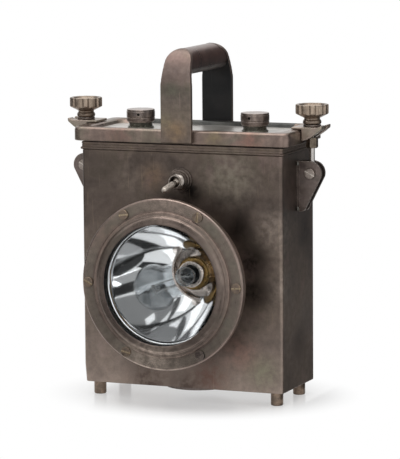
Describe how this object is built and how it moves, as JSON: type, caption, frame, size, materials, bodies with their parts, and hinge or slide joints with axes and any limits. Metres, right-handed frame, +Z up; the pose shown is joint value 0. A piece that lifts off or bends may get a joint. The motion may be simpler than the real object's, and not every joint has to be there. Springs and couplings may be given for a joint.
{
  "type": "portable emergency lamp",
  "caption": "Battery emergency lamp: flat metal case with a round reflector head in front, a clamped lid with vent caps, a carrying handle on top and a toggle switch.",
  "frame": {"origin": "on the floor, under the middle of the whole object, from the lip of the lamp head to the rear strap of the handle", "axes": "+Z up, the lamp shines towards -Y, +X towards the clamp at the right as seen from the front"},
  "size_m": [0.258, 0.148, 0.3296],
  "materials": {
    "case_paint": "aged bronze-grey paint on sheet metal, worn",
    "foot_metal": "dull dark steel",
    "cast_paint": "aged paint on cast metal, satin",
    "handle_paint": "worn grey-brown paint, satin",
    "dark_metal": "dark oxidised metal",
    "aged_brass": "aged brass, satin",
    "bright_steel": "bare steel, satin",
    "black_rubber": "matte",
    "clear_glass": "clear and smooth",
    "polished_metal": "polished",
    "cell_case": "dark moulded ebonite"
  },
  "bodies": {
    "housing": {"case_shell": "case_paint", "neck_band": "case_paint", "base_disc": "foot_metal", "foot_front_left": "foot_metal", "foot_front_right": "foot_metal", "foot_rear_left": "foot_metal", "foot_rear_right": "foot_metal", "lid": "cast_paint", "lug_left": "cast_paint", "lug_right": "cast_paint", "lamp_barrel": "cast_paint", "bezel_ring": "cast_paint", "handle_front_leg": "handle_paint", "handle_rear_leg": "handle_paint", "handle_grip": "handle_paint", "vent_neck_left": "dark_metal", "vent_neck_right": "dark_metal", "bracket_left": "dark_metal", "bracket_right": "dark_metal", "pivot_nut_left": "dark_metal", "pivot_nut_right": "dark_metal", "switch_plate": "dark_metal", "switch_nut": "dark_metal", "switch_bushing": "dark_metal", "pivot_screw_left": "aged_brass", "pivot_screw_right": "aged_brass", "lamp_socket": "aged_brass", "bulb_cap": "aged_brass", "bezel_screw_1": "aged_brass", "bezel_screw_2": "aged_brass", "bezel_screw_3": "aged_brass", "bezel_screw_4": "aged_brass", "bezel_screw_5": "aged_brass", "bezel_screw_6": "aged_brass", "cell_link": "bright_steel", "lid_gasket": "black_rubber", "lens_gasket": "black_rubber", "lead_feed": "black_rubber", "lead_lamp": "black_rubber", "lead_return": "black_rubber", "lens_glass": "clear_glass", "bulb_glass": "clear_glass", "reflector": "polished_metal", "cell_left": "cell_case", "cell_right": "cell_case", "switch_body": "cell_case"},
    "bolt_left": {"swing_bolt_left": "bright_steel", "stop_nut_left": "aged_brass"},
    "bolt_right": {"swing_bolt_right": "bright_steel", "stop_nut_right": "aged_brass"},
    "washer_left": {"clamp_washer_left": "dark_metal"},
    "washer_right": {"clamp_washer_right": "dark_metal"},
    "nut_left": {"thumb_nut_left": "aged_brass"},
    "nut_right": {"thumb_nut_right": "aged_brass"},
    "cap_left": {"vent_cap_left": "dark_metal"},
    "cap_right": {"vent_cap_right": "dark_metal"},
    "lever": {"switch_lever": "bright_steel"}
  },
  "joints": [
    {"name": "bolt_swing_left", "type": "hinge", "parent": "housing", "child": "bolt_left", "pos_m": [-0.114, 0.0207, 0.2143], "axis": [0, -1, 0], "range_deg": [0, 26]},
    {"name": "nut_lift_left", "type": "slide", "parent": "bolt_left", "child": "washer_left", "axis": [0, 0, 1], "range_m": [0, 0.0137]},
    {"name": "nut_turn_left", "type": "hinge", "parent": "washer_left", "child": "nut_left", "pos_m": [-0.114, 0.0207, 0.268], "axis": [0, 0, 1], "continuous": true},
    {"name": "bolt_swing_right", "type": "hinge", "parent": "housing", "child": "bolt_right", "pos_m": [0.114, 0.0207, 0.2143], "axis": [0, 1, 0], "range_deg": [0, 26]},
    {"name": "nut_lift_right", "type": "slide", "parent": "bolt_right", "child": "washer_right", "axis": [0, 0, 1], "range_m": [0, 0.0137]},
    {"name": "nut_turn_right", "type": "hinge", "parent": "washer_right", "child": "nut_right", "pos_m": [0.114, 0.0207, 0.268], "axis": [0, 0, 1], "continuous": true},
    {"name": "vent_cap_turn_left", "type": "hinge", "parent": "housing", "child": "cap_left", "pos_m": [-0.0576, 0.0207, 0.2625], "axis": [0, 0, 1], "continuous": true},
    {"name": "vent_cap_turn_right", "type": "hinge", "parent": "housing", "child": "cap_right", "pos_m": [0.0576, 0.0207, 0.2625], "axis": [0, 0, 1], "continuous": true},
    {"name": "switch_throw", "type": "hinge", "parent": "housing", "child": "lever", "pos_m": [0, -0.0293, 0.208], "axis": [-0.8191, 0, 0.5736], "range_deg": [0, 40]}
  ],
  "couplings": [
    {"joint": "nut_lift_left", "follows": "bolt_swing_left", "m_per_rad": 0.03},
    {"joint": "nut_lift_right", "follows": "bolt_swing_right", "m_per_rad": 0.03}
  ]
}
